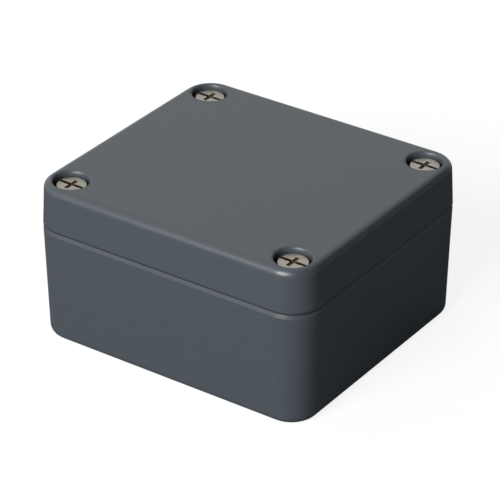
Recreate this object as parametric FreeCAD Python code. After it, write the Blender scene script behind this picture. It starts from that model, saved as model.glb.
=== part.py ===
import FreeCAD, Part
import math
import os

V = FreeCAD.Vector

# Small sealed box of die cast aluminium, for electronics. Millimetres, +Z up.
# The origin is the middle of the underside, and X runs along the longer side.

# The closed box, measured over the lid
length = 64.0
width = 58.0
height = 34.0
lid_height = 9.25
corner_r = 6.45
parting = height - lid_height

# Slope of the cast walls in degrees, so that the castings leave the die
base_draft = 1.5
base_rim_slope = 18.0
lid_draft = 3.0
inner_draft = 1.0

# Walls and rounded edges of the two castings
floor_t = 3.0
roof_t = 3.0
base_foot_r = 1.85
lid_edge_r = 1.6
base_rim_h = 0.9
base_rim_edge_r = 0.3
lid_rim_r = 0.25
lid_overhang = 0.03
inner_edge_r = 0.8

# The seal line, which the rib on the base and the groove in the lid both follow
seal_inset = 2.2
seal_corner_r = 3.0
rib_w = 1.0
rib_h = 1.0
rib_edge_r = 0.25
rib_shelf = 0.5
groove_w = 1.6
groove_depth = 2.6
groove_lip = 1.0
gasket_clearance = 0.05

# Lid screws: captive M4, with a waist so that they hang in the lid once they are undone
screw_inset = 6.0
screw_r = 1.95
screw_thread_length = 6.0
screw_thread_depth = 5.0
screw_tip_chamfer = 0.5
waist_r = 1.55
head_r = 3.0
head_h = 2.6
head_sink = 1.0
head_edge_r = 0.2

# The drive in the head: a slot right across, and a tapered cross in the middle
slot_w = 0.7
slot_depth = 1.1
cross_span = 3.75
cross_w = 0.85
cross_depth = 1.9
cross_taper = 0.45

# Holes that the lid screws sit in
thread_clearance = 0.05
tip_space = 3.0
relief_r = 2.3
relief_run_out = 0.5
lid_hole_r = 2.2
recess_r = 3.6
recess_mouth_r = 0.7
recess_mouth_angle = 75.0

# Nylon rings under the lid that keep the screws captive
ring_bore_clearance = 0.1
ring_r = 3.25
ring_t = 1.0
ring_seat_clearance = 0.05
ring_seat_depth = 3.5

# Fixing holes: four wells outside the seal beside the lid screws, for screws into a wall or plate
fixing_inset = 6.0
fixing_from_screw = 7.0
fixing_hole_r = 2.25
fixing_floor_t = 5.0
well_r = 3.7
well_land = 1.0

# Bosses on the floor for a circuit board
board_inset_x = 16.5
board_inset_y = 8.0
board_boss_r = 3.0
board_boss_h = 5.0
board_boss_draft = 2.0
board_pilot_r = 1.25
board_pilot_depth = 6.0
board_pilot_chamfer = 0.3

# Earth terminal: a boss on the floor, a toothed washer and an M4 screw
earth_inset = 8.6
earth_boss_r = 4.3
earth_boss_h = 4.0
earth_hole_depth = 5.0
earth_tip_space = 0.5
earth_screw_r = 1.95
earth_head_r = 3.5
earth_head_h = 2.4
earth_head_edge_r = 0.6
earth_slot_w = 1.0
earth_slot_depth = 1.2
washer_r = 4.0
washer_root_r = 3.2
washer_bore_r = 2.15
washer_t = 0.5
washer_teeth = 12

# Round marks that the ejector pins leave inside both castings
ejector_spacing = 20.0
ejector_r = 2.0
ejector_depth = 0.15

# Places of the screws, holes and bosses, from the sides of the box
screw_spacing_x = length - 2 * screw_inset
screw_spacing_y = width - 2 * screw_inset
fixing_spacing_x = length - 2 * fixing_inset
fixing_spacing_y = screw_spacing_y - 2 * fixing_from_screw
board_spacing_x = length - 2 * board_inset_x
board_spacing_y = width - 2 * board_inset_y
earth_x = earth_inset - length / 2

# Heights and depths that follow from the sizes above
seat_z = height - head_sink - head_h
head_top_z = height - head_sink
thread_top_z = parting - screw_thread_depth
thread_bottom_z = thread_top_z - screw_thread_length
tapped_bottom_z = thread_bottom_z - tip_space
relief_bottom_z = thread_top_z + relief_run_out
ring_seat_z = parting + ring_seat_depth
groove_top_z = parting + groove_depth
rib_top_z = parting + rib_h
roof_z = height - roof_t
rim_z = parting - base_rim_h
board_seat_z = floor_t + board_boss_h
earth_seat_z = floor_t + earth_boss_h

# The seal turns round each fixing well on the well's own centre
notch_r = well_r + well_land + rib_w / 2
notch_x = fixing_spacing_x / 2 - notch_r
notch_y = fixing_spacing_y / 2 - notch_r

# How far a cutting tool runs past the face that it opens
OVERCUT = 1.0


def four(spacing_x, spacing_y):
    """The corners of a rectangle about the origin, counted anticlockwise from +X +Y."""
    x, y = spacing_x / 2, spacing_y / 2
    return [(x, y), (-x, y), (-x, -y), (x, -y)]


def arc_loop(corners, z):
    """A closed outline at height z through corners (x, y, radius), each rounded by a tangent arc."""
    arcs = []
    for i, (x, y, r) in enumerate(corners):
        before, after = corners[i - 1], corners[(i + 1) % len(corners)]
        corner = V(x, y, z)
        back = V(before[0] - x, before[1] - y, 0).normalize()
        on = V(after[0] - x, after[1] - y, 0).normalize()
        half = back.getAngle(on) / 2
        tangent = r / math.tan(half)
        middle = corner + (back + on).normalize() * (r / math.sin(half) - r)
        arcs.append((corner + back * tangent, middle, corner + on * tangent))
    edges = []
    for i, (start, middle, end) in enumerate(arcs):
        edges.append(Part.Arc(start, middle, end).toShape())
        edges.append(Part.LineSegment(end, arcs[(i + 1) % len(arcs)][0]).toShape())
    return Part.Wire(edges)


def outer_loop(offset, z):
    """The box's outline, moved outwards by offset."""
    half_x, half_y, r = length / 2 + offset, width / 2 + offset, corner_r + offset
    return arc_loop([(x, y, r) for x, y in four(2 * half_x, 2 * half_y)], z)


def seal_loop(offset, z):
    """The seal line, moved outwards by offset: a rectangle with a notch round each pair of screw and well."""
    half_x, half_y = length / 2 - seal_inset + offset, width / 2 - seal_inset + offset
    in_x, in_y = notch_x + offset, notch_y + offset
    out_r, in_r = seal_corner_r + offset, notch_r - offset
    quarter = [(half_x, in_y, out_r), (in_x, in_y, in_r), (in_x, half_y, out_r)]
    mirrored = quarter[::-1]
    loop = list(quarter)
    loop += [(-x, y, r) for x, y, r in mirrored]
    loop += [(-x, -y, r) for x, y, r in quarter]
    loop += [(x, -y, r) for x, y, r in mirrored]
    return arc_loop(loop, z)


def drafted(loop, offset, z_true, z_low, z_high, draft):
    """A solid from z_low to z_high with loop's outline at z_true, growing upwards by draft degrees."""
    slope = math.tan(math.radians(draft))
    ends = [loop(offset + (z - z_true) * slope, z) for z in (z_low, z_high)]
    return Part.makeLoft(ends, True, True)


def seal_band(band_w, z_low, z_high):
    """A straight band of the given width along the seal line."""
    outside = drafted(seal_loop, band_w / 2, z_low, z_low, z_high, 0)
    return outside.cut(drafted(seal_loop, -band_w / 2, z_low, z_low, z_high, 0))


def round_edges(shape, z, r):
    """Round the edges of shape that lie flat at height z."""
    flat = [e for e in shape.Edges if abs(e.BoundBox.ZMin - z) < 1e-4 and abs(e.BoundBox.ZMax - z) < 1e-4]
    return shape.makeFillet(r, flat)


def rod(x, y, r, z_low, z_high):
    """An upright cylinder."""
    return Part.makeCylinder(r, z_high - z_low, V(x, y, z_low))


def taper(x, y, r_low, r_high, z_low, z_high):
    """An upright cone without its point."""
    return Part.makeCone(r_low, r_high, z_high - z_low, V(x, y, z_low))


def turned(x, y, profile):
    """A solid turned about the upright axis at x, y from edges in the plane of X and Z."""
    solid = Part.Face(Part.Wire(profile)).revolve(V(0, 0, 0), V(0, 0, 1), 360)
    # The seam faces the box's middle, clear of the rounded outer edges, or a cut there can fail
    solid.rotate(V(0, 0, 0), V(0, 0, 1), math.degrees(math.atan2(-y, -x)))
    solid.translate(V(x, y, 0))
    return solid


def lines(points):
    """Straight edges through points (x, z)."""
    ends = [V(x, 0, z) for x, z in points]
    return [Part.LineSegment(a, b).toShape() for a, b in zip(ends, ends[1:])]


def board_boss(x, y):
    """A boss that a circuit board is screwed to, without its hole."""
    foot_r = board_boss_r + board_boss_h * math.tan(math.radians(board_boss_draft))
    return taper(x, y, foot_r, board_boss_r, floor_t - OVERCUT, board_seat_z)


def board_pilot(x, y):
    """The blind hole in a board boss, with a chamfered mouth."""
    hole = rod(x, y, board_pilot_r, board_seat_z - board_pilot_depth, board_seat_z + OVERCUT)
    mouth_r = board_pilot_r + board_pilot_chamfer
    mouth = taper(x, y, board_pilot_r, mouth_r, board_seat_z - board_pilot_chamfer, board_seat_z)
    return hole.fuse(mouth)


def ejector_marks(z_low, z_high):
    """Tools for the round marks on an inner face."""
    return [rod(x, y, ejector_r, z_low, z_high) for x, y in four(ejector_spacing, ejector_spacing)]


def screw_hole_in_base(x, y):
    """The tapped hole for a lid screw, and the wider hole above it that the thread rises through."""
    tapped = rod(x, y, screw_r + thread_clearance, tapped_bottom_z, parting)
    return tapped.fuse(rod(x, y, relief_r, relief_bottom_z, parting + OVERCUT))


def fixing_well(x, y):
    """A hole through the floor for a fixing screw, and the well that its head goes down."""
    hole = rod(x, y, fixing_hole_r, -OVERCUT, parting)
    return hole.fuse(rod(x, y, well_r, fixing_floor_t, parting + OVERCUT))


def screw_recess(x, y):
    """The recess in the lid's top, with a rounded mouth. The mouth's arc stops short of level."""
    rise = math.radians(recess_mouth_angle)
    lip_z = height - recess_mouth_r * math.sin(rise)
    mouth_r = recess_r + recess_mouth_r * (1 - math.cos(rise))
    half = rise / 2
    start, end = V(recess_r, 0, lip_z), V(mouth_r, 0, height)
    middle = V(recess_r + recess_mouth_r * (1 - math.cos(half)), 0, lip_z + recess_mouth_r * math.sin(half))
    walls = lines([(mouth_r, height), (mouth_r, height + OVERCUT), (0, height + OVERCUT), (0, seat_z)])
    floor = lines([(0, seat_z), (recess_r, seat_z), (recess_r, lip_z)])
    return turned(x, y, floor + [Part.Arc(start, middle, end).toShape()] + walls)


def make_base():
    wall = drafted(outer_loop, -lid_overhang, rim_z, 0, rim_z, base_draft)
    rim = drafted(outer_loop, -lid_overhang, rim_z, rim_z, parting, -base_rim_slope)
    body = round_edges(wall.fuse(rim).removeSplitter(), 0, base_foot_r)
    body = round_edges(body, rim_z, base_rim_edge_r)
    cavity_offset = -(rib_w / 2 + rib_shelf)
    cavity = drafted(seal_loop, cavity_offset, parting, floor_t, parting + OVERCUT, inner_draft)
    body = body.cut(round_edges(cavity, floor_t, inner_edge_r))
    rib = round_edges(seal_band(rib_w, parting - OVERCUT, rib_top_z), rib_top_z, rib_edge_r)
    bosses = [board_boss(x, y) for x, y in four(board_spacing_x, board_spacing_y)]
    earth_boss = rod(earth_x, 0, earth_boss_r, floor_t - OVERCUT, earth_seat_z)
    body = body.fuse([rib, earth_boss] + bosses)
    cuts = [screw_hole_in_base(x, y) for x, y in four(screw_spacing_x, screw_spacing_y)]
    cuts += [fixing_well(x, y) for x, y in four(fixing_spacing_x, fixing_spacing_y)]
    cuts += [board_pilot(x, y) for x, y in four(board_spacing_x, board_spacing_y)]
    cuts += ejector_marks(floor_t - ejector_depth, floor_t + OVERCUT)
    earth_hole_r = earth_screw_r + thread_clearance
    cuts.append(rod(earth_x, 0, earth_hole_r, earth_seat_z - earth_hole_depth, earth_seat_z + OVERCUT))
    return body.cut(cuts).removeSplitter()


def make_lid():
    body = drafted(outer_loop, 0, parting, parting, height, -lid_draft)
    body = round_edges(body, height, lid_edge_r)
    body = round_edges(body, parting, lid_rim_r)
    cavity_offset = -(groove_w / 2 + groove_lip)
    cavity = drafted(seal_loop, cavity_offset, parting, parting - OVERCUT, roof_z, -inner_draft)
    cuts = [round_edges(cavity, roof_z, inner_edge_r), seal_band(groove_w, parting - OVERCUT, groove_top_z)]
    for x, y in four(screw_spacing_x, screw_spacing_y):
        cuts.append(screw_recess(x, y))
        cuts.append(rod(x, y, lid_hole_r, parting, height))
        cuts.append(rod(x, y, ring_r + ring_seat_clearance, parting - OVERCUT, ring_seat_z))
    cuts += ejector_marks(roof_z - OVERCUT, roof_z + ejector_depth)
    return body.cut(cuts).removeSplitter()


def make_gasket():
    """The seal lies against the roof of its groove and rests on the rib."""
    return seal_band(groove_w - 2 * gasket_clearance, rib_top_z, groove_top_z)


def cross_arm(x, y, along_y):
    """One arm of the cross in a screw's head: wide at the top and drawn in to the bottom."""
    ends = []
    for z, share in ((head_top_z - cross_depth, cross_taper), (head_top_z, 1.0)):
        long_half, short_half = cross_span * share / 2, cross_w * share / 2
        half_x, half_y = (short_half, long_half) if along_y else (long_half, short_half)
        corners = [V(x + a, y + b, z) for a, b in four(2 * half_x, 2 * half_y)]
        ends.append(Part.makePolygon(corners + corners[:1]))
    return Part.makeLoft(ends, True, True)


def make_lid_screw(x, y):
    head = round_edges(rod(x, y, head_r, seat_z, head_top_z), head_top_z, head_edge_r)
    waist = rod(x, y, waist_r, thread_top_z, seat_z)
    thread = rod(x, y, screw_r, thread_bottom_z + screw_tip_chamfer, thread_top_z)
    tip_r = screw_r - screw_tip_chamfer
    tip = taper(x, y, tip_r, screw_r, thread_bottom_z, thread_bottom_z + screw_tip_chamfer)
    slot_corner = V(x - head_r - OVERCUT, y - slot_w / 2, head_top_z - slot_depth)
    slot = Part.makeBox(2 * (head_r + OVERCUT), slot_w, slot_depth + OVERCUT, slot_corner)
    drive = [slot, cross_arm(x, y, False), cross_arm(x, y, True)]
    return head.fuse([waist, thread, tip]).cut(drive).removeSplitter()


def make_retaining_ring(x, y):
    ring = rod(x, y, ring_r, ring_seat_z - ring_t, ring_seat_z)
    return ring.cut(rod(x, y, waist_r + ring_bore_clearance, ring_seat_z - ring_t, ring_seat_z))


def make_earth_washer():
    """A flat washer with square teeth round its edge."""
    step = 2 * math.pi / washer_teeth
    points = []
    for i in range(washer_teeth):
        for share, r in ((0, washer_root_r), (0.5, washer_root_r), (0.5, washer_r), (1, washer_r)):
            turn = (i + share) * step
            points.append(V(earth_x + r * math.cos(turn), r * math.sin(turn), earth_seat_z))
    outline = Part.Face(Part.makePolygon(points + points[:1]))
    washer = outline.extrude(V(0, 0, washer_t))
    return washer.cut(rod(earth_x, 0, washer_bore_r, earth_seat_z, earth_seat_z + washer_t))


def make_earth_screw():
    head_z = earth_seat_z + washer_t
    top_z = head_z + earth_head_h
    head = round_edges(rod(earth_x, 0, earth_head_r, head_z, top_z), top_z, earth_head_edge_r)
    tip_z = earth_seat_z - earth_hole_depth + earth_tip_space
    shank = rod(earth_x, 0, earth_screw_r, tip_z, head_z)
    slot_corner = V(earth_x - earth_head_r - OVERCUT, -earth_slot_w / 2, top_z - earth_slot_depth)
    slot = Part.makeBox(2 * (earth_head_r + OVERCUT), earth_slot_w, earth_slot_depth + OVERCUT, slot_corner)
    return head.fuse(shank).cut(slot).removeSplitter()


nodes = {
    "base": make_base(),
    "lid": make_lid(),
    "lid_gasket": make_gasket(),
    "earth_washer": make_earth_washer(),
    "earth_screw": make_earth_screw(),
}
for i, (x, y) in enumerate(four(screw_spacing_x, screw_spacing_y), start=1):
    nodes[f"lid_screw_{i}"] = make_lid_screw(x, y)
    nodes[f"retaining_ring_{i}"] = make_retaining_ring(x, y)

os.makedirs("parts", exist_ok=True)
for name, shape in nodes.items():
    shape.exportStep(f"parts/{name}.step")
    print(f"{name}: {len(shape.Solids)} solid, {shape.Volume:.1f} mm3, valid {shape.isValid()}")
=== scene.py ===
import math

import bpy
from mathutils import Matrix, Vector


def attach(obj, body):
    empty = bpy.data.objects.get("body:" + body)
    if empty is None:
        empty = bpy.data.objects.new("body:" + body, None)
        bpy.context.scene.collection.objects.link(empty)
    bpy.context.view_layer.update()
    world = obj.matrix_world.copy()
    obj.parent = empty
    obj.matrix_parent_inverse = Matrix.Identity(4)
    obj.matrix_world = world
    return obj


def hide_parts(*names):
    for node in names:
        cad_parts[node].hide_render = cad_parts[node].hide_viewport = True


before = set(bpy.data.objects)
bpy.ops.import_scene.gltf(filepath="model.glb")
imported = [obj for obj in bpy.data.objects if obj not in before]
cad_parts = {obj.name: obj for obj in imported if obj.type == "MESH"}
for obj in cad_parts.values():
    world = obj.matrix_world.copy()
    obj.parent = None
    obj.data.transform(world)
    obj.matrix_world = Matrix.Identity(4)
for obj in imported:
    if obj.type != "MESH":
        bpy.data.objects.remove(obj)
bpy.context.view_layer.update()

# The base: the deep lower casting of aluminium alloy, pressure die cast in one piece with its wells,
# bosses and sealing rib. Its outside is powder coated in a satin grey. The space inside the seal is
# masked off while it is coated, so that it shows the bare metal as it left the die.
MM = 0.001

# In millimetres, with the box's middle at X = Y = 0 and its underside at Z = 0: the seal line, the fixing
# wells beside it, the lid screws and their recesses, and the outline of the box just below the lid
SEAL_HALF_X, SEAL_HALF_Y = 29.8, 26.8
SEAL_CORNER_BLEND = 5.3
NOTCH_R = 5.2
WELL_AXIS = (26.0, 16.0, 0.0)
WELL_R = 3.8
SCREW_AXIS = (26.0, 23.0, 0.0)
RECESS_R = 4.4
OUTLINE_CENTRE = (25.55, 22.55, 0.0)
OUTLINE_CORNER_R = 6.45
PARTING = 24.75

# Where bare metal shows: inside the seal as far as the outer foot of the rib, down the wells, up the fixing
# holes and in the screws' bores
CAVITY_LOW_Z, CAVITY_HIGH_Z = 1.0, 31.3
COAT_EDGE = 0.05
WELL_COATED_Z, WELL_BARE_Z, WELL_RAGGED = 25.0, 16.0, 8.0
HOLE_COATED_Z, HOLE_BARE_Z = 0.1, 1.5
BORE_LOW_Z, BORE_HIGH_Z = 10.0, 30.3
RIB_FOOT = 0.5
BASE_BORE_R = 2.4

# How far the painted shade along the joint reaches: in from the outline, up the lid's edge and under it
JOINT_IN, JOINT_UP, JOINT_UP_END = 0.45, 0.1, 0.7
JOINT_DOWN, JOINT_DOWN_END = 0.04, 0.12

# The size of the patterns: patches of thin coat, orange peel with 11 bumps to 20 mm, grain, and flow marks
# in the cast skin, 3 to 25 mm. Then how far the grain stands out beside the peel and the flow marks, and
# what a recess adds to the coat's roughness.
PATCH_MM, PEEL_MM, GRAIN_MM = 2.0, 20 / 11, 0.3125
FLOW_MM = (25 / 3, 2.0, 2.0)
RELIEF_MM = 0.008
GRAIN_ON_COAT, GRAIN_ON_METAL = 0.25, 1.5
RECESS_DULLER = 0.09


def linear(colour):
    """Turns an sRGB hex colour into linear red, green, blue and alpha."""
    shares = [int(colour[i:i + 2], 16) / 255 for i in (0, 2, 4)]
    return [s / 12.92 if s <= 0.04045 else ((s + 0.055) / 1.055) ** 2.4 for s in shares] + [1.0]


def add(tree, kind, inputs=None, **settings):
    """Adds one node. The settings are its properties; the inputs are values, or sockets to link from."""
    node = tree.nodes.new(kind)
    for name, value in settings.items():
        setattr(node, name, value)
    for name, value in (inputs or {}).items():
        if isinstance(value, bpy.types.NodeSocket):
            tree.links.new(value, node.inputs[name])
        else:
            node.inputs[name].default_value = value
    return node


def new_material(name):
    """An empty material, with the piece's own coordinates in millimetres."""
    material = bpy.data.materials.new(name)
    material.use_nodes = True
    tree = material.node_tree
    tree.nodes.clear()
    place = add(tree, "ShaderNodeTexCoord").outputs["Object"]
    place = add(tree, "ShaderNodeVectorMath", {0: place, "Scale": 1 / MM}, operation="SCALE").outputs[0]
    return material, tree, place


def coat_and_metal(name, bare_to_seal, bare_bore_r):
    """Powder coat outside and bare cast aluminium inside. The edge between them follows the seal line."""
    material, tree, place = new_material(name)
    flat = add(tree, "ShaderNodeVectorMath", {0: place, 1: (1, 1, 0)}, operation="MULTIPLY").outputs[0]
    quarter = add(tree, "ShaderNodeVectorMath", {0: flat}, operation="ABSOLUTE").outputs[0]
    across = add(tree, "ShaderNodeSeparateXYZ", {0: quarter}).outputs
    height = add(tree, "ShaderNodeSeparateXYZ", {0: place}).outputs["Z"]

    # How far a point lies outside the seal line, which is a rectangle with a round notch at each corner
    past_x = add(tree, "ShaderNodeMath", {0: across["X"], 1: SEAL_HALF_X}, operation="SUBTRACT").outputs[0]
    past_y = add(tree, "ShaderNodeMath", {0: across["Y"], 1: SEAL_HALF_Y}, operation="SUBTRACT").outputs[0]
    past_sides = add(tree, "ShaderNodeMath", {0: past_x, 1: past_y}, operation="MAXIMUM").outputs[0]
    from_well = add(tree, "ShaderNodeVectorMath", {0: WELL_AXIS, 1: quarter}, operation="SUBTRACT").outputs[0]
    to_notch = add(tree, "ShaderNodeVectorMath", {0: from_well, 1: (0, 0, 0)}, operation="MAXIMUM").outputs[0]
    to_notch = add(tree, "ShaderNodeVectorMath", {0: to_notch}, operation="LENGTH").outputs["Value"]
    past_notch = add(tree, "ShaderNodeMath", {0: NOTCH_R, 1: to_notch}, operation="SUBTRACT").outputs[0]
    past_seal = add(tree, "ShaderNodeMath", {0: past_sides, 1: past_notch, 2: SEAL_CORNER_BLEND},
                    operation="SMOOTH_MAX").outputs[0]
    cavity = add(tree, "ShaderNodeMapRange",
                 {"Value": past_seal, "To Min": 1, "To Max": 0,
                  "From Min": bare_to_seal - COAT_EDGE, "From Max": bare_to_seal + COAT_EDGE}).outputs[0]
    over_floor = add(tree, "ShaderNodeMath", {0: height, 1: CAVITY_LOW_Z},
                     operation="GREATER_THAN").outputs[0]
    under_roof = add(tree, "ShaderNodeMath", {0: height, 1: CAVITY_HIGH_Z}, operation="LESS_THAN").outputs[0]
    cavity = add(tree, "ShaderNodeMath", {0: cavity, 1: over_floor}, operation="MULTIPLY").outputs[0]
    cavity = add(tree, "ShaderNodeMath", {0: cavity, 1: under_roof}, operation="MULTIPLY").outputs[0]

    # The coat thins out down the wells and from below up the fixing holes, and none gets on the threads
    well_r = add(tree, "ShaderNodeVectorMath", {0: from_well}, operation="LENGTH").outputs["Value"]
    in_well = add(tree, "ShaderNodeMath", {0: well_r, 1: WELL_R}, operation="LESS_THAN").outputs[0]
    patch = add(tree, "ShaderNodeTexNoise",
                {"Vector": place, "Scale": 1 / PATCH_MM, "Detail": 3}).outputs["Fac"]
    ragged = add(tree, "ShaderNodeMath", {0: patch, 1: WELL_RAGGED, 2: height},
                 operation="MULTIPLY_ADD").outputs[0]
    deep = add(tree, "ShaderNodeMapRange",
               {"Value": ragged, "From Min": WELL_COATED_Z, "From Max": WELL_BARE_Z}).outputs[0]
    shallow = add(tree, "ShaderNodeMapRange",
                  {"Value": height, "From Min": HOLE_COATED_Z, "From Max": HOLE_BARE_Z}).outputs[0]
    well = add(tree, "ShaderNodeMath", {0: in_well, 1: deep}, operation="MULTIPLY").outputs[0]
    well = add(tree, "ShaderNodeMath", {0: well, 1: shallow}, operation="MULTIPLY").outputs[0]
    from_screw = add(tree, "ShaderNodeVectorMath", {0: SCREW_AXIS, 1: quarter},
                     operation="SUBTRACT").outputs[0]
    screw_r = add(tree, "ShaderNodeVectorMath", {0: from_screw}, operation="LENGTH").outputs["Value"]
    bore = add(tree, "ShaderNodeMath", {0: screw_r, 1: bare_bore_r}, operation="LESS_THAN").outputs[0]
    under_seat = add(tree, "ShaderNodeMath", {0: height, 1: BORE_HIGH_Z}, operation="LESS_THAN").outputs[0]
    bore = add(tree, "ShaderNodeMath", {0: bore, 1: under_seat}, operation="MULTIPLY").outputs[0]
    over_end = add(tree, "ShaderNodeMath", {0: height, 1: BORE_LOW_Z}, operation="GREATER_THAN").outputs[0]
    bore = add(tree, "ShaderNodeMath", {0: bore, 1: over_end}, operation="MULTIPLY").outputs[0]
    bare = add(tree, "ShaderNodeMath", {0: cavity, 1: well}, operation="MAXIMUM").outputs[0]
    bare = add(tree, "ShaderNodeMath", {0: bare, 1: bore}, operation="MAXIMUM").outputs[0]

    # Painted shade lies along the joint between the castings, under and just above the lid's lower edge
    outline = add(tree, "ShaderNodeVectorMath", {0: quarter, 1: OUTLINE_CENTRE},
                  operation="SUBTRACT").outputs[0]
    outline = add(tree, "ShaderNodeVectorMath", {0: outline, 1: (0, 0, 0)}, operation="MAXIMUM").outputs[0]
    outline = add(tree, "ShaderNodeVectorMath", {0: outline}, operation="LENGTH").outputs["Value"]
    outside = add(tree, "ShaderNodeMath", {0: outline, 1: OUTLINE_CORNER_R - JOINT_IN},
                  operation="GREATER_THAN").outputs[0]
    above = add(tree, "ShaderNodeMapRange",
                {"Value": height, "From Min": PARTING + JOINT_UP, "From Max": PARTING + JOINT_UP_END,
                 "To Min": 1, "To Max": 0}, interpolation_type="SMOOTHSTEP").outputs[0]
    below = add(tree, "ShaderNodeMapRange",
                {"Value": height, "From Min": PARTING - JOINT_DOWN_END,
                 "From Max": PARTING - JOINT_DOWN}).outputs[0]
    joint_shade = add(tree, "ShaderNodeMath", {0: above, 1: below}, operation="MULTIPLY").outputs[0]
    joint_shade = add(tree, "ShaderNodeMath", {0: joint_shade, 1: outside}, operation="MULTIPLY").outputs[0]

    # Polyester powder coat, cured satin: even colour, with a faint orange peel about 2 mm across. Less
    # powder reaches the walls of the lid's recesses, so that it cures duller there.
    peel = add(tree, "ShaderNodeTexNoise",
               {"Vector": place, "Scale": 1 / PEEL_MM, "Detail": 1}).outputs["Fac"]
    grain = add(tree, "ShaderNodeTexNoise",
                {"Vector": place, "Scale": 1 / GRAIN_MM, "Detail": 2}).outputs["Fac"]
    tint = add(tree, "ShaderNodeMix", {0: peel, 6: linear("40464B"), 7: linear("444A4F")},
               data_type="RGBA").outputs[2]
    # The coat is painted darker along the joint, as the shade of the gap between the castings
    tint = add(tree, "ShaderNodeMix", {0: joint_shade, 6: tint, 7: linear("24282B")}, data_type="RGBA").outputs[2]
    coat_rough = add(tree, "ShaderNodeMapRange", {"Value": grain, "To Min": 0.28, "To Max": 0.35}).outputs[0]
    in_recess = add(tree, "ShaderNodeMath", {0: screw_r, 1: RECESS_R}, operation="LESS_THAN").outputs[0]
    coat_rough = add(tree, "ShaderNodeMath", {0: in_recess, 1: RECESS_DULLER, 2: coat_rough},
                     operation="MULTIPLY_ADD").outputs[0]
    coat_height = add(tree, "ShaderNodeMath", {0: grain, 1: GRAIN_ON_COAT, 2: peel},
                      operation="MULTIPLY_ADD").outputs[0]

    # Die cast aluminium: a dull skin with pale flow marks, each some millimetres long
    flow = add(tree, "ShaderNodeMapping",
               {"Vector": place, "Scale": [1 / size for size in FLOW_MM]}).outputs[0]
    flow = add(tree, "ShaderNodeTexNoise",
               {"Vector": flow, "Scale": 1.0, "Detail": 5, "Distortion": 1.2}).outputs["Fac"]
    skin = add(tree, "ShaderNodeMix", {0: flow, 6: linear("989B9D"), 7: linear("C9CBCC")},
               data_type="RGBA").outputs[2]
    metal_rough = add(tree, "ShaderNodeMapRange", {"Value": flow, "To Min": 0.55, "To Max": 0.36}).outputs[0]
    metal_height = add(tree, "ShaderNodeMath", {0: grain, 1: GRAIN_ON_METAL, 2: flow},
                       operation="MULTIPLY_ADD").outputs[0]

    colour = add(tree, "ShaderNodeMix", {0: bare, 6: tint, 7: skin}, data_type="RGBA").outputs[2]
    rough = add(tree, "ShaderNodeMix", {0: bare, 2: coat_rough, 3: metal_rough}).outputs[0]
    relief = add(tree, "ShaderNodeMix", {0: bare, 2: coat_height, 3: metal_height}).outputs[0]
    bump = add(tree, "ShaderNodeBump",
               {"Strength": 1.0, "Distance": RELIEF_MM * MM, "Height": relief}).outputs[0]
    shader = add(tree, "ShaderNodeBsdfPrincipled",
                 {"Base Color": colour, "Metallic": bare, "Roughness": rough, "Normal": bump, "IOR": 1.5})
    add(tree, "ShaderNodeOutputMaterial", {"Surface": shader.outputs[0]})
    return material


def dress(node, material):
    """Gives a piece that keeps the shape of its solid its material."""
    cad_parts[node].data.materials.clear()
    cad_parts[node].data.materials.append(material)


dress("base", coat_and_metal("satin_powder_coat_on_base", RIB_FOOT, BASE_BORE_R))

# The earth terminal: a cheese head steel screw over a toothed lock washer, in a tapped boss on the
# floor of the base. Both are turned and stamped from stainless steel. The wire's eye goes under them.
EARTH_AXIS_X = -23.4
EARTH_SEAT_Z, EARTH_WASHER_T, EARTH_HEAD_H = 7.0, 0.5, 2.4
EARTH_TOP_Z = EARTH_SEAT_Z + EARTH_WASHER_T + EARTH_HEAD_H
EARTH_HEAD_R, EARTH_HEAD_EDGE = 3.5, 0.6

# Every screw's thread: the crest's half width and the root's start are shares of the pitch. The thread
# fades in at the neck and out at the tip. The rows are the steps of its mesh along the axis.
THREAD_R, THREAD_ROOT_R = 1.95, 1.57
THREAD_PITCH, THREAD_ROW = 0.7, 0.07
CREST_HALF, ROOT_START = 0.0625, 0.42
FADE_IN, FADE_OUT = 0.5, 0.4
ROUND_SIDES = 72
STEEL_SMOOTH_ANGLE = 34

# The steel's marks, drawn a little coarser than real ones so that they show, and the grime in the drive. It
# starts below the head's top, lower past the rounded edge, and keeps off the head's side. Along the slot it
# is painted near black as shade, but pale in the middle and to either side: W is across the slot and L along
# it, from the axis.
TURNING_MARK_MM, DENT_MM = 0.16, 0.25
STEEL_RELIEF_MM, MARKS_TO_DENTS = 0.02, 0.12
GRIME_START, GRIME_FULL, GRIME_END = 0.01, 0.06, 2.1
GRIME_EDGE_SLOPE, GRIME_TO_SIDE, GRIME_ROUGH = 1.3, 0.01, 0.85
SLOT_DARK_W, SLOT_PALE_W = 0.36, 0.6
SLOT_DARK_L, SLOT_PALE_L = 0.9, 0.35


def new_tree(name, sizes):
    """A Geometry Nodes tree with a named input for each size, and one for the place and the material."""
    tree = bpy.data.node_groups.new(name, "GeometryNodeTree")
    tree.interface.new_socket("Shape", in_out="INPUT", socket_type="NodeSocketGeometry")
    for size in sizes:
        tree.interface.new_socket(size, in_out="INPUT", socket_type="NodeSocketFloat")
    tree.interface.new_socket("Place", in_out="INPUT", socket_type="NodeSocketVector")
    tree.interface.new_socket("Material", in_out="INPUT", socket_type="NodeSocketMaterial")
    tree.interface.new_socket("Geometry", in_out="OUTPUT", socket_type="NodeSocketGeometry")
    return tree, add(tree, "NodeGroupInput").outputs


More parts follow.
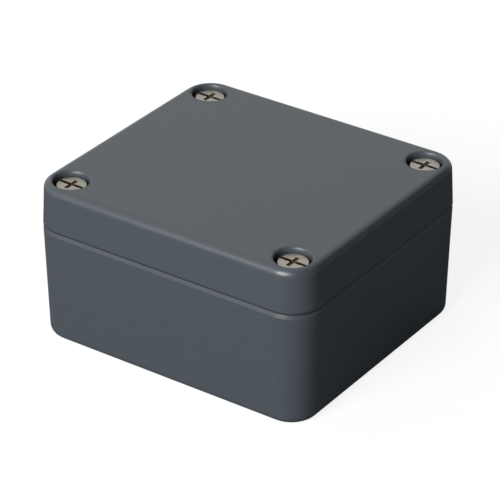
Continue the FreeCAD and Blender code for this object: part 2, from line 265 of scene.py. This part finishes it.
def finish_tree(tree, mesh, sizes, smooth_angle):
    """Ends a tree: shades it, scales it from millimetres, puts it in its place and gives it its material."""
    angle = add(tree, "GeometryNodeInputMeshEdgeAngle").outputs["Unsigned Angle"]
    sharp = add(tree, "ShaderNodeMath", {0: angle, 1: math.radians(smooth_angle)},
                operation="GREATER_THAN").outputs[0]
    mesh = add(tree, "GeometryNodeSetShadeSmooth", {0: mesh}, domain="FACE").outputs[0]
    mesh = add(tree, "GeometryNodeSetShadeSmooth", {0: mesh, "Selection": sharp, "Shade Smooth": False},
               domain="EDGE").outputs[0]
    place = add(tree, "ShaderNodeVectorMath", {0: sizes["Place"], "Scale": MM}, operation="SCALE").outputs[0]
    mesh = add(tree, "GeometryNodeTransform",
               {"Geometry": mesh, "Translation": place, "Scale": (MM, MM, MM)}).outputs[0]
    mesh = add(tree, "GeometryNodeRealizeInstances", {0: mesh}).outputs[0]
    mesh = add(tree, "GeometryNodeSetMaterial", {0: mesh, "Material": sizes["Material"]}).outputs[0]
    add(tree, "NodeGroupOutput", {0: mesh})


def grow(name, tree, values, mesh=None):
    """Runs a tree with the given values and returns the result as a plain mesh object."""
    piece = bpy.data.objects.new(name, mesh or bpy.data.meshes.new(name))
    bpy.context.scene.collection.objects.link(piece)
    modifier = piece.modifiers.new(tree.name, "NODES")
    modifier.node_group = tree
    for socket in tree.interface.items_tree:
        if socket.in_out == "INPUT" and socket.name in values:
            modifier[socket.identifier] = values[socket.name]
    evaluated = piece.evaluated_get(bpy.context.evaluated_depsgraph_get())
    result = bpy.data.meshes.new_from_object(evaluated)
    piece.modifiers.clear()
    piece.data = result
    return piece


def make_screw_tree():
    """A screw turned from a profile, with its thread and its drive. Depths are below the head's top."""
    tree, size = new_tree("screw", [
        "Head radius", "Head edge", "Head height", "Neck radius", "Thread start", "Thread end", "Length",
        "Thread radius", "Root radius", "Tip radius", "Pitch", "Row",
        "Slot width", "Slot depth", "Cross span", "Cross width", "Cross depth", "Cross taper"])
    head_r, root_r = size["Head radius"], size["Root radius"]
    flat_r = add(tree, "ShaderNodeMath", {0: head_r, 1: size["Head edge"]}, operation="SUBTRACT").outputs[0]
    corners = [(0.0, 0.0), (flat_r, 0.0), (head_r, 0.0), (head_r, size["Head edge"]),
               (head_r, size["Head height"]), (size["Neck radius"], size["Head height"]),
               (root_r, size["Thread start"]), (root_r, size["Thread end"]),
               (size["Tip radius"], size["Length"]), (0.0, size["Length"])]
    points = [add(tree, "ShaderNodeCombineXYZ", {"X": r, "Y": depth}).outputs[0] for r, depth in corners]
    top, edge_in, corner, edge_out, under, neck, start, end, tip, axis = points
    lines = [(top, edge_in), (edge_out, under), (under, neck), (neck, start), (end, tip), (tip, axis)]
    curves = [add(tree, "GeometryNodeCurvePrimitiveLine", {"Start": a, "End": b}).outputs[0]
              for a, b in lines]
    curves.append(add(tree, "GeometryNodeCurveQuadraticBezier",
                      {"Resolution": 5, "Start": edge_in, "Middle": corner, "End": edge_out}).outputs[0])
    thread = add(tree, "GeometryNodeCurvePrimitiveLine", {"Start": start, "End": end}).outputs[0]
    curves.append(add(tree, "GeometryNodeResampleCurve", {"Curve": thread, "Length": size["Row"]},
                      mode="LENGTH").outputs[0])
    profile = add(tree, "GeometryNodeJoinGeometry")
    for curve in curves:
        tree.links.new(curve, profile.inputs[0])

    # A sweep round a tiny circle turns the profile about the axis. Its runs are merged where they meet.
    circle = add(tree, "GeometryNodeCurvePrimitiveCircle",
                 {"Resolution": ROUND_SIDES, "Radius": 1e-4}).outputs[0]
    body = add(tree, "GeometryNodeCurveToMesh",
               {"Curve": circle, "Profile Curve": profile.outputs[0]}).outputs[0]
    body = add(tree, "GeometryNodeMergeByDistance", {"Geometry": body, "Distance": 1e-3}).outputs[0]

    # The thread stands out of its root as a right-hand helix, cut off at the tip and run out at the neck
    at = add(tree, "GeometryNodeInputPosition").outputs[0]
    part = add(tree, "ShaderNodeSeparateXYZ", {0: at}).outputs
    depth = add(tree, "ShaderNodeMath", {0: part["Z"], 1: -1.0}, operation="MULTIPLY").outputs[0]
    turn = add(tree, "ShaderNodeMath", {0: part["Y"], 1: part["X"]}, operation="ARCTAN2").outputs[0]
    turn = add(tree, "ShaderNodeMath", {0: turn, 1: math.tau}, operation="DIVIDE").outputs[0]
    rise = add(tree, "ShaderNodeMath", {0: depth, 1: size["Pitch"]}, operation="DIVIDE").outputs[0]
    phase = add(tree, "ShaderNodeMath", {0: rise, 1: turn}, operation="ADD").outputs[0]
    phase = add(tree, "ShaderNodeMath", {0: phase}, operation="FRACT").outputs[0]
    aside = add(tree, "ShaderNodeMath", {0: phase, 1: 0.5}, operation="SUBTRACT").outputs[0]
    aside = add(tree, "ShaderNodeMath", {0: aside}, operation="ABSOLUTE").outputs[0]
    ridge = add(tree, "ShaderNodeMapRange",
                {"Value": aside, "From Min": CREST_HALF, "From Max": ROOT_START,
                 "To Min": 1, "To Max": 0}).outputs[0]
    past = add(tree, "ShaderNodeMath", {0: depth, 1: size["Thread start"]}, operation="SUBTRACT").outputs[0]
    fade_in = add(tree, "ShaderNodeMapRange",
                  {"Value": past, "From Min": 0.0, "From Max": FADE_IN}).outputs[0]
    left = add(tree, "ShaderNodeMath", {0: size["Thread end"], 1: depth}, operation="SUBTRACT").outputs[0]
    fade_out = add(tree, "ShaderNodeMapRange",
                   {"Value": left, "From Min": 0.0, "From Max": FADE_OUT}).outputs[0]
    ridge = add(tree, "ShaderNodeMath", {0: ridge, 1: fade_in}, operation="MINIMUM").outputs[0]
    ridge = add(tree, "ShaderNodeMath", {0: ridge, 1: fade_out}, operation="MINIMUM").outputs[0]
    full = add(tree, "ShaderNodeMath", {0: size["Thread radius"], 1: root_r}, operation="DIVIDE").outputs[0]
    more = add(tree, "ShaderNodeMath", {0: full, 1: 1.0}, operation="SUBTRACT").outputs[0]
    wider = add(tree, "ShaderNodeMath", {0: ridge, 1: more, 2: 1.0}, operation="MULTIPLY_ADD").outputs[0]
    wider = add(tree, "ShaderNodeCombineXYZ", {"X": wider, "Y": wider, "Z": 1.0}).outputs[0]
    moved = add(tree, "ShaderNodeVectorMath", {0: at, 1: wider}, operation="MULTIPLY").outputs[0]
    body = add(tree, "GeometryNodeSetPosition", {"Geometry": body, "Position": moved}).outputs[0]

    # The slot is milled right across; the cross is punched, so each arm narrows downwards. Each is cut by a
    # block whose lower half is in the head.
    across = add(tree, "ShaderNodeMath", {0: head_r, 1: 3.0}, operation="MULTIPLY").outputs[0]
    twice = add(tree, "ShaderNodeMath", {0: size["Slot depth"], 1: 2.0}, operation="MULTIPLY").outputs[0]
    slot = add(tree, "ShaderNodeCombineXYZ", {"X": across, "Y": size["Slot width"], "Z": twice}).outputs[0]
    slot = add(tree, "GeometryNodeMeshCube", {"Size": slot}).outputs[0]
    twice = add(tree, "ShaderNodeMath", {0: size["Cross depth"], 1: 2.0}, operation="MULTIPLY").outputs[0]
    arm = add(tree, "ShaderNodeCombineXYZ",
              {"X": size["Cross span"], "Y": size["Cross width"], "Z": twice}).outputs[0]
    arm = add(tree, "GeometryNodeMeshCube", {"Size": arm}).outputs[0]
    upside = add(tree, "ShaderNodeMath", {0: part["Z"], 1: 0.0}, operation="GREATER_THAN").outputs[0]
    wide_end = add(tree, "ShaderNodeMath", {0: 2.0, 1: size["Cross taper"]}, operation="SUBTRACT").outputs[0]
    share = add(tree, "ShaderNodeMix", {0: upside, 2: size["Cross taper"], 3: wide_end}).outputs[0]
    share = add(tree, "ShaderNodeCombineXYZ", {"X": share, "Y": share, "Z": 1.0}).outputs[0]
    tapered = add(tree, "ShaderNodeVectorMath", {0: at, 1: share}, operation="MULTIPLY").outputs[0]
    arm = add(tree, "GeometryNodeSetPosition", {"Geometry": arm, "Position": tapered}).outputs[0]
    other_arm = add(tree, "GeometryNodeTransform",
                    {"Geometry": arm, "Rotation": (0, 0, math.radians(90))}).outputs[0]
    cut = add(tree, "GeometryNodeMeshBoolean", {"Mesh 1": body}, operation="DIFFERENCE", solver="MANIFOLD")
    tree.links.new(slot, cut.inputs["Mesh 2"])
    crossed = add(tree, "GeometryNodeMeshBoolean", {"Mesh 1": cut.outputs[0]},
                  operation="DIFFERENCE", solver="MANIFOLD")
    tree.links.new(arm, crossed.inputs["Mesh 2"])
    tree.links.new(other_arm, crossed.inputs["Mesh 2"])
    has_cross = add(tree, "ShaderNodeMath", {0: size["Cross span"], 1: 0.01},
                    operation="GREATER_THAN").outputs[0]
    body = add(tree, "GeometryNodeSwitch",
               {"Switch": has_cross, "False": cut.outputs[0], "True": crossed.outputs[0]},
               input_type="GEOMETRY").outputs[0]
    finish_tree(tree, body, size, STEEL_SMOOTH_ANGLE)
    return tree


def stainless(name, axis, head_top_z, head_r, head_edge):
    """Stainless steel, cold formed and tumbled: warm pale grey, matt, faintly mottled, grimy in the drive,
    with painted shade along the slot.
    """
    material, tree, place = new_material(name)
    quarter = add(tree, "ShaderNodeVectorMath", {0: place}, operation="ABSOLUTE").outputs[0]
    local = add(tree, "ShaderNodeVectorMath", {0: quarter, 1: axis}, operation="SUBTRACT").outputs[0]
    local = add(tree, "ShaderNodeVectorMath", {0: local, 1: (1, 1, 0)}, operation="MULTIPLY").outputs[0]
    radius = add(tree, "ShaderNodeVectorMath", {0: local}, operation="LENGTH").outputs["Value"]
    height = add(tree, "ShaderNodeSeparateXYZ", {0: place}).outputs["Z"]
    rings = add(tree, "ShaderNodeMath", {0: radius, 1: math.tau / TURNING_MARK_MM},
                operation="MULTIPLY").outputs[0]
    rings = add(tree, "ShaderNodeMath", {0: rings}, operation="SINE").outputs[0]
    dents = add(tree, "ShaderNodeTexNoise",
                {"Vector": place, "Scale": 1 / DENT_MM, "Detail": 3}).outputs["Fac"]
    steel = add(tree, "ShaderNodeMapRange", {"Value": dents, "From Min": 0.3, "From Max": 0.7}).outputs[0]
    steel = add(tree, "ShaderNodeMix", {0: steel, 6: linear("9B968B"), 7: linear("C2BDB3")},
                data_type="RGBA").outputs[2]

    # Old grease and dust lie in the slot and the cross, up to a hair below the top and its rounded edge.
    # Along the slot, which lies along X, to either side of the cross, it is painted near black as the slot's
    # shade.
    depth = add(tree, "ShaderNodeMath", {0: head_top_z, 1: height}, operation="SUBTRACT").outputs[0]
    past_edge = add(tree, "ShaderNodeMath", {0: radius, 1: head_r - head_edge},
                    operation="SUBTRACT").outputs[0]
    past_edge = add(tree, "ShaderNodeMath", {0: past_edge, 1: 0.0}, operation="MAXIMUM").outputs[0]
    sunk = add(tree, "ShaderNodeMath", {0: past_edge, 1: -GRIME_EDGE_SLOPE, 2: depth},
               operation="MULTIPLY_ADD").outputs[0]
    sunk = add(tree, "ShaderNodeMapRange",
               {"Value": sunk, "From Min": GRIME_START, "From Max": GRIME_FULL}).outputs[0]
    shallow = add(tree, "ShaderNodeMath", {0: depth, 1: GRIME_END}, operation="LESS_THAN").outputs[0]
    inside = add(tree, "ShaderNodeMath", {0: radius, 1: head_r - GRIME_TO_SIDE},
                 operation="LESS_THAN").outputs[0]
    grime_and_slot_shade = add(tree, "ShaderNodeMath", {0: sunk, 1: shallow}, operation="MULTIPLY").outputs[0]
    grime_and_slot_shade = add(tree, "ShaderNodeMath", {0: grime_and_slot_shade, 1: inside}, operation="MULTIPLY").outputs[0]
    metal = add(tree, "ShaderNodeMath", {0: 1.0, 1: grime_and_slot_shade}, operation="SUBTRACT").outputs[0]
    spread = add(tree, "ShaderNodeVectorMath", {0: local}, operation="ABSOLUTE").outputs[0]
    spread = add(tree, "ShaderNodeSeparateXYZ", {0: spread}).outputs
    # Where the slot's painted shade ends: beside the slot and in its middle the grime is plain brown
    aside = add(tree, "ShaderNodeMapRange",
                {"Value": spread["Y"], "From Min": SLOT_DARK_W, "From Max": SLOT_PALE_W}).outputs[0]
    centre = add(tree, "ShaderNodeMapRange",
                 {"Value": spread["X"], "From Min": SLOT_DARK_L, "From Max": SLOT_PALE_L}).outputs[0]
    pale = add(tree, "ShaderNodeMath", {0: aside, 1: centre}, operation="MAXIMUM").outputs[0]
    # Near black is painted shade along the slot; the brown is the grime itself
    dirt_and_slot_shade = add(tree, "ShaderNodeMix", {0: pale, 6: linear("100A05"), 7: linear("504431")},
               data_type="RGBA").outputs[2]
    tint = add(tree, "ShaderNodeMix", {0: grime_and_slot_shade, 6: steel, 7: dirt_and_slot_shade}, data_type="RGBA").outputs[2]
    rough = add(tree, "ShaderNodeMapRange", {"Value": dents, "To Min": 0.3, "To Max": 0.46}).outputs[0]
    rough = add(tree, "ShaderNodeMix", {0: grime_and_slot_shade, 2: rough, 3: GRIME_ROUGH}).outputs[0]
    relief = add(tree, "ShaderNodeMath", {0: rings, 1: MARKS_TO_DENTS, 2: dents},
                 operation="MULTIPLY_ADD").outputs[0]
    bump = add(tree, "ShaderNodeBump",
               {"Strength": 1.0, "Distance": STEEL_RELIEF_MM * MM, "Height": relief}).outputs[0]

    # The low specular level keeps the grime dull. Bare metal doesn't use it.
    shader = add(tree, "ShaderNodeBsdfPrincipled",
                 {"Base Color": tint, "Metallic": metal, "Roughness": rough, "Specular IOR Level": 0.1,
                  "Normal": bump})
    add(tree, "ShaderNodeOutputMaterial", {"Surface": shader.outputs[0]})
    return material


screw_tree = make_screw_tree()
earth_steel = stainless("turned_stainless_steel_earth", (-EARTH_AXIS_X, 0, 0), EARTH_TOP_Z,
                        EARTH_HEAD_R, EARTH_HEAD_EDGE)
earth_screw = grow("earth_screw_steel", screw_tree, {
    "Head radius": EARTH_HEAD_R, "Head edge": EARTH_HEAD_EDGE, "Head height": EARTH_HEAD_H,
    "Neck radius": 1.6, "Thread start": EARTH_HEAD_H + 0.02, "Thread end": 7.05, "Length": 7.4,
    "Thread radius": THREAD_R, "Root radius": THREAD_ROOT_R, "Tip radius": 1.3,
    "Pitch": THREAD_PITCH, "Row": THREAD_ROW, "Slot width": 1.0, "Slot depth": 1.2, "Cross span": 0.0,
    "Place": (EARTH_AXIS_X, 0, EARTH_TOP_Z), "Material": earth_steel})
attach(earth_screw, "base")
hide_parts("earth_screw")

# The lock washer: stamped from spring steel sheet, with twelve teeth that are each twisted to bite
# into the boss and the screw's head. It lies loose on the boss until the screw holds it down.
WASHER_TEETH = 12


def make_washer_tree():
    """A flat ring with a twisted tooth repeated round it."""
    tree, size = new_tree("toothed_washer", [
        "Middle radius", "Ring width", "Ring thickness", "Tooth radius", "Tooth length", "Tooth width",
        "Tooth thickness", "Tooth twist"])
    circle = add(tree, "GeometryNodeCurvePrimitiveCircle",
                 {"Resolution": ROUND_SIDES, "Radius": size["Middle radius"]}).outputs[0]
    section = add(tree, "GeometryNodeCurvePrimitiveQuadrilateral",
                  {"Width": size["Ring width"], "Height": size["Ring thickness"]}).outputs[0]
    ring = add(tree, "GeometryNodeCurveToMesh", {"Curve": circle, "Profile Curve": section}).outputs[0]
    block = add(tree, "ShaderNodeCombineXYZ",
                {"X": size["Tooth length"], "Y": size["Tooth width"],
                 "Z": size["Tooth thickness"]}).outputs[0]
    tooth = add(tree, "GeometryNodeMeshCube", {"Size": block, "Vertices X": 5}).outputs[0]
    at = add(tree, "GeometryNodeInputPosition").outputs[0]
    along = add(tree, "ShaderNodeSeparateXYZ", {0: at}).outputs["X"]
    along = add(tree, "ShaderNodeMath", {0: along, 1: size["Tooth length"]}, operation="DIVIDE").outputs[0]
    angle = add(tree, "ShaderNodeMath", {0: along, 1: 0.5}, operation="ADD").outputs[0]
    angle = add(tree, "ShaderNodeMath", {0: angle, 1: size["Tooth twist"]}, operation="MULTIPLY").outputs[0]
    turned = add(tree, "ShaderNodeVectorRotate", {"Vector": at, "Angle": angle},
                 rotation_type="X_AXIS").outputs[0]
    tooth = add(tree, "GeometryNodeSetPosition", {"Geometry": tooth, "Position": turned}).outputs[0]
    out = add(tree, "ShaderNodeCombineXYZ", {"X": size["Tooth radius"]}).outputs[0]
    tooth = add(tree, "GeometryNodeTransform", {"Geometry": tooth, "Translation": out}).outputs[0]
    spots = add(tree, "GeometryNodeMeshLine", {"Count": WASHER_TEETH, "Offset": (0, 0, 0)}).outputs[0]
    index = add(tree, "GeometryNodeInputIndex").outputs[0]
    turn = add(tree, "ShaderNodeMath", {0: index, 1: math.tau / WASHER_TEETH},
               operation="MULTIPLY").outputs[0]
    turn = add(tree, "ShaderNodeCombineXYZ", {"Z": turn}).outputs[0]
    teeth = add(tree, "GeometryNodeInstanceOnPoints",
                {"Points": spots, "Instance": tooth, "Rotation": turn}).outputs[0]
    teeth = add(tree, "GeometryNodeRealizeInstances", {0: teeth}).outputs[0]
    whole = add(tree, "GeometryNodeMeshBoolean", operation="UNION", solver="MANIFOLD")
    tree.links.new(ring, whole.inputs["Mesh 2"])
    tree.links.new(teeth, whole.inputs["Mesh 2"])
    finish_tree(tree, whole.outputs[0], size, STEEL_SMOOTH_ANGLE)
    return tree


earth_washer = grow("earth_washer_steel", make_washer_tree(), {
    "Middle radius": 2.675, "Ring width": 1.05, "Ring thickness": 0.26,
    "Tooth radius": 3.45, "Tooth length": 1.1, "Tooth width": 0.95, "Tooth thickness": 0.19,
    "Tooth twist": math.radians(18),
    "Place": (EARTH_AXIS_X, 0, EARTH_SEAT_Z + EARTH_WASHER_T / 2), "Material": earth_steel})
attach(earth_washer, "base")
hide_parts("earth_washer")

# The lid: the shallow upper casting of the same alloy and coat. The recesses of its screws are coated
# too. Under it the coat ends at the outer wall of the seal's groove.
GROOVE_WALL = 0.8
LID_BORE_R = 3.35

dress("lid", coat_and_metal("satin_powder_coat_on_lid", GROOVE_WALL, LID_BORE_R))

# The seal: a closed cord of black EPDM rubber, extruded with rounded edges and pressed into the lid's
# groove, which it follows round every screw and well. The rib of the base presses on its underside.
SEAL_CORNER_R = 3.0
SEAL_W, SEAL_H, SEAL_EDGE_R = 1.5, 1.6, 0.4
SEAL_MIDDLE_Z = 26.55
SEAL_SMOOTH_ANGLE = 50

# The faint mottling of moulded black, 3 patches to 10 mm, and how far it moves the roughness
BLOOM_MM, BLOOM_ROUGH = 10 / 3, 0.06


def make_seal_tree():
    """A rounded cord along a closed path of straight runs. Of each three corners the middle is a notch."""
    tree, size = new_tree("rubber_seal", ["Corner radius", "Notch radius", "Width", "Height", "Edge radius"])
    path = add(tree, "GeometryNodeMeshToCurve", {0: size["Shape"]}).outputs[0]
    index = add(tree, "GeometryNodeInputIndex").outputs[0]
    third = add(tree, "ShaderNodeMath", {0: index, 1: 3.0}, operation="MODULO").outputs[0]
    notch = add(tree, "ShaderNodeMath", {0: third, 1: 1.0, 2: 0.1}, operation="COMPARE").outputs[0]
    radius = add(tree, "ShaderNodeMix",
                 {0: notch, 2: size["Corner radius"], 3: size["Notch radius"]}).outputs[0]
    path = add(tree, "GeometryNodeFilletCurve", {"Curve": path, "Radius": radius, "Count": 12},
               mode="POLY").outputs[0]
    section = add(tree, "GeometryNodeCurvePrimitiveQuadrilateral",
                  {"Width": size["Width"], "Height": size["Height"]}).outputs[0]
    section = add(tree, "GeometryNodeFilletCurve",
                  {"Curve": section, "Radius": size["Edge radius"], "Count": 4}, mode="POLY").outputs[0]
    cord = add(tree, "GeometryNodeCurveToMesh", {"Curve": path, "Profile Curve": section}).outputs[0]
    finish_tree(tree, cord, size, SEAL_SMOOTH_ANGLE)
    return tree


def moulded(name, dark, pale, roughness, grain_mm, relief_mm):
    """Black rubber or nylon as it leaves the mould: nearly even, with a fine grain from the tool."""
    material, tree, place = new_material(name)
    grain = add(tree, "ShaderNodeTexNoise",
                {"Vector": place, "Scale": 1 / grain_mm, "Detail": 3}).outputs["Fac"]
    bloom = add(tree, "ShaderNodeTexNoise",
                {"Vector": place, "Scale": 1 / BLOOM_MM, "Detail": 4}).outputs["Fac"]
    tint = add(tree, "ShaderNodeMix", {0: bloom, 6: linear(dark), 7: linear(pale)},
               data_type="RGBA").outputs[2]
    rough = add(tree, "ShaderNodeMapRange",
                {"Value": bloom, "To Min": roughness - BLOOM_ROUGH,
                 "To Max": roughness + BLOOM_ROUGH}).outputs[0]
    bump = add(tree, "ShaderNodeBump",
               {"Strength": 1.0, "Distance": relief_mm * MM, "Height": grain}).outputs[0]
    shader = add(tree, "ShaderNodeBsdfPrincipled",
                 {"Base Color": tint, "Roughness": rough, "Normal": bump, "IOR": 1.52})
    add(tree, "ShaderNodeOutputMaterial", {"Surface": shader.outputs[0]})
    return material


notch_x, notch_y = WELL_AXIS[0] - NOTCH_R, WELL_AXIS[1] - NOTCH_R
quarter = [(SEAL_HALF_X, notch_y), (notch_x, notch_y), (notch_x, SEAL_HALF_Y)]
corners = quarter + [(-x, y) for x, y in reversed(quarter)]
corners += [(-x, -y) for x, y in quarter] + [(x, -y) for x, y in reversed(quarter)]
runs = [(i, (i + 1) % len(corners)) for i in range(len(corners))]
path = bpy.data.meshes.new("seal_path")
path.from_pydata([(x, y, 0) for x, y in corners], runs, [])
rubber = moulded("extruded_epdm_rubber", "1B1B1C", "2A2A2B", 0.62, 0.35, 0.012)
seal = grow("lid_seal_rubber", make_seal_tree(), {
    "Corner radius": SEAL_CORNER_R, "Notch radius": NOTCH_R,
    "Width": SEAL_W, "Height": SEAL_H, "Edge radius": SEAL_EDGE_R,
    "Place": (0, 0, SEAL_MIDDLE_Z), "Material": rubber}, path)
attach(seal, "lid")
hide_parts("lid_gasket")

# The retaining rings: thin washers moulded in black nylon, pushed into pockets under the lid. A lid
# screw's waist passes through each, but not its thread, so that the screws stay in the lid.
nylon = moulded("moulded_black_nylon", "17171A", "222226", 0.42, 0.25, 0.004)
for number in (1, 2, 3, 4):
    dress(f"retaining_ring_{number}", nylon)

# The lid screws: four captive M4 screws of stainless steel, cold headed, with a slot milled across a
# punched cross, a thinner waist, and a rolled thread at the end. Their heads sink below the lid's top,
# and grime fills most of the cross.
LID_SCREW_PLACES = [(26, 23), (-26, 23), (-26, -23), (26, -23)]
LID_SCREW_TOP_Z = 33.0
LID_SCREW_HEAD_R, LID_SCREW_HEAD_EDGE = 3.0, 0.2

lid_steel = stainless("cold_headed_stainless_steel", SCREW_AXIS, LID_SCREW_TOP_Z,
                      LID_SCREW_HEAD_R, LID_SCREW_HEAD_EDGE)
for number, (x, y) in enumerate(LID_SCREW_PLACES, start=1):
    screw = grow(f"lid_screw_{number}_steel", screw_tree, {
        "Head radius": LID_SCREW_HEAD_R, "Head edge": LID_SCREW_HEAD_EDGE, "Head height": 2.6,
        "Neck radius": 1.55, "Thread start": 13.25, "Thread end": 19.13, "Length": 19.25,
        "Thread radius": THREAD_R, "Root radius": THREAD_ROOT_R, "Tip radius": 1.45,
        "Pitch": THREAD_PITCH, "Row": THREAD_ROW, "Slot width": 0.7, "Slot depth": 1.1,
        "Cross span": 3.75, "Cross width": 0.85, "Cross depth": 0.3, "Cross taper": 0.92,
        "Place": (x, y, LID_SCREW_TOP_Z), "Material": lid_steel})
    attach(screw, f"lid_screw_{number}")
    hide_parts(f"lid_screw_{number}")

# The floor: a white paper sweep. The camera sees it white, with the box's soft shadow on it, and so does
# a polished part, except that close to the box it sees the paper darkened by painted shade.
FLOOR_R, FLOOR_GAP = 0.9, 0.02 * MM

# In millimetres from the box's middle: where the paper turns full white, from its share of white close to
# the box, and where its painted shade fades out as a polished part sees it. Then the stretch under the box,
# and its glow.
WHITE_FROM, WHITE_AT, NEAR_WHITE = 45, 220, 0.86
MIRRORED_FROM, MIRRORED_AT = 150, 600
UNDER_HALF_X, UNDER_HALF_Y, UNDER_GLOW = 29.4, 26.4, 0.8

bpy.ops.mesh.primitive_circle_add(vertices=96, radius=FLOOR_R, fill_type="NGON", location=(0, 0, -FLOOR_GAP))
floor = bpy.context.object
floor.name = "floor"
floor_material, tree, place = new_material("white_paper_floor")
rays = add(tree, "ShaderNodeLightPath").outputs
seen = add(tree, "ShaderNodeMath", {0: rays["Is Camera Ray"], 1: rays["Is Transmission Ray"]},
           operation="MAXIMUM").outputs[0]
distance = add(tree, "ShaderNodeVectorMath", {0: place}, operation="LENGTH").outputs["Value"]
near = add(tree, "ShaderNodeMapRange",
           {"Value": distance, "From Min": WHITE_FROM, "From Max": WHITE_AT,
            "To Min": NEAR_WHITE, "To Max": 1.0},
           interpolation_type="SMOOTHSTEP").outputs[0]
shade = add(tree, "ShaderNodeMapRange",
            {"Value": distance, "From Min": MIRRORED_FROM, "From Max": MIRRORED_AT},
            interpolation_type="SMOOTHSTEP").outputs[0]
glow = add(tree, "ShaderNodeMath", {0: seen, 1: near}, operation="MULTIPLY").outputs[0]
# A polished part sees the paper glow only away from the box: close to it, painted shade
glow = add(tree, "ShaderNodeMath", {0: rays["Is Glossy Ray"], 1: shade, 2: glow},
           operation="MULTIPLY_ADD").outputs[0]

# Right under the box the paper gives off a little light, so that the underside shows from below
across = add(tree, "ShaderNodeVectorMath", {0: place}, operation="ABSOLUTE").outputs[0]
across = add(tree, "ShaderNodeSeparateXYZ", {0: across}).outputs
under_x = add(tree, "ShaderNodeMath", {0: across["X"], 1: UNDER_HALF_X}, operation="LESS_THAN").outputs[0]
under_y = add(tree, "ShaderNodeMath", {0: across["Y"], 1: UNDER_HALF_Y}, operation="LESS_THAN").outputs[0]
under = add(tree, "ShaderNodeMath", {0: under_x, 1: under_y}, operation="MULTIPLY").outputs[0]
under = add(tree, "ShaderNodeMath", {0: rays["Is Diffuse Ray"], 1: under}, operation="MULTIPLY").outputs[0]
glow = add(tree, "ShaderNodeMath", {0: under, 1: UNDER_GLOW, 2: glow}, operation="MULTIPLY_ADD").outputs[0]
diffuse = add(tree, "ShaderNodeBsdfDiffuse", {"Color": linear("73777A")}).outputs[0]
emission = add(tree, "ShaderNodeEmission", {"Color": linear("FFFFFF"), "Strength": glow}).outputs[0]
lit = add(tree, "ShaderNodeAddShader", {0: diffuse, 1: emission}).outputs[0]

# From below the paper is clear, so that it doesn't hide the underside
clear = add(tree, "ShaderNodeBsdfTransparent").outputs[0]
behind = add(tree, "ShaderNodeNewGeometry").outputs["Backfacing"]
sheet = add(tree, "ShaderNodeMixShader", {0: behind, 1: lit, 2: clear}).outputs[0]
add(tree, "ShaderNodeOutputMaterial", {"Surface": sheet})
floor.data.materials.append(floor_material)

# The surroundings: a white studio with a faint even light. Its right side is covered with black cloth,
# which keeps that side of the box dark.
AMBIENT, STUDIO_WHITE = 0.04, 0.85

# The white turns to cloth from straight ahead, 0, to this share of the way to the right, 1
CLOTH_AT = 0.5

world = bpy.data.worlds.new("white_studio")
world.use_nodes = True
tree = world.node_tree
tree.nodes.clear()
rays = add(tree, "ShaderNodeLightPath").outputs
seen = add(tree, "ShaderNodeMath", {0: rays["Is Camera Ray"], 1: rays["Is Transmission Ray"]},
           operation="MAXIMUM").outputs[0]
toward = add(tree, "ShaderNodeTexCoord").outputs["Generated"]
toward = add(tree, "ShaderNodeSeparateXYZ", {0: toward}).outputs["X"]
cloth = add(tree, "ShaderNodeMapRange",
            {"Value": toward, "From Min": 0.0, "From Max": CLOTH_AT, "To Min": STUDIO_WHITE, "To Max": 0.0},
            interpolation_type="SMOOTHSTEP").outputs[0]
mirrored = add(tree, "ShaderNodeMath", {0: rays["Is Glossy Ray"], 1: cloth}, operation="MULTIPLY").outputs[0]
strength = add(tree, "ShaderNodeMath", {0: seen, 1: mirrored}, operation="MAXIMUM").outputs[0]
strength = add(tree, "ShaderNodeMath", {0: strength, 1: AMBIENT}, operation="MAXIMUM").outputs[0]
background = add(tree, "ShaderNodeBackground", {"Color": linear("FFFFFF"), "Strength": strength}).outputs[0]
add(tree, "ShaderNodeOutputWorld", {"Surface": background})
bpy.context.scene.world = world

# The lamps: a large round soft box low at the front left, and a weak one high at the back left that
# lights the far sides of the box. Each has its azimuth and elevation in degrees, its distance and
# diameter in metres, its power in watts, and whether polished parts mirror it.
LAMPS = [
    ("key_lamp", 269.0, 28.6, 1.0, 0.71, 15.3, True),
    ("fill_lamp", 150.0, 45.0, 1.0, 0.9, 2.0, False),
]
BOX_MIDDLE = Vector((0.0, 0.0, 17.0))


def lamp(name, azimuth, elevation, distance, size, power, mirrored):
    """A round soft lamp that points at the box. The azimuth is counted from the +X side towards +Y."""
    data = bpy.data.lights.new(name, "AREA")
    data.shape = "DISK"
    data.size = size
    data.energy = power
    made = bpy.data.objects.new(name, data)
    bpy.context.scene.collection.objects.link(made)
    turn, rise = math.radians(azimuth), math.radians(elevation)
    away = Vector((math.cos(turn) * math.cos(rise), math.sin(turn) * math.cos(rise), math.sin(rise)))
    made.location = away * distance + BOX_MIDDLE * MM
    made.rotation_mode = "QUATERNION"
    made.rotation_quaternion = away.to_track_quat("Z", "Y")
    made.visible_glossy = mirrored


for values in LAMPS:
    lamp(*values)

# The camera: a long lens, placed and aimed as the photograph was taken. It stands to the right of the
# box's front and looks down on it.
CAMERA_AZIMUTH, CAMERA_ELEVATION = math.radians(35.003), math.radians(29.892)
CAMERA_DISTANCE = 548.13
CAMERA_AIM = Vector((0.37, -0.28, 16.23))

camera_data = bpy.data.cameras.new("camera")
camera_data.sensor_width = 36
camera_data.lens = 199.1
camera_data.clip_start, camera_data.clip_end = 0.05, 20
camera = bpy.data.objects.new("camera", camera_data)
bpy.context.scene.collection.objects.link(camera)
flat_share = math.cos(CAMERA_ELEVATION)
back = Vector((math.sin(CAMERA_AZIMUTH) * flat_share, -math.cos(CAMERA_AZIMUTH) * flat_share,
                  math.sin(CAMERA_ELEVATION)))
camera.location = (BOX_MIDDLE + back * CAMERA_DISTANCE) * MM
camera.rotation_mode = "QUATERNION"
camera.rotation_quaternion = (camera.location - CAMERA_AIM * MM).to_track_quat("Z", "Y")
bpy.context.scene.camera = camera
bpy.context.scene.view_settings.view_transform = "Standard"
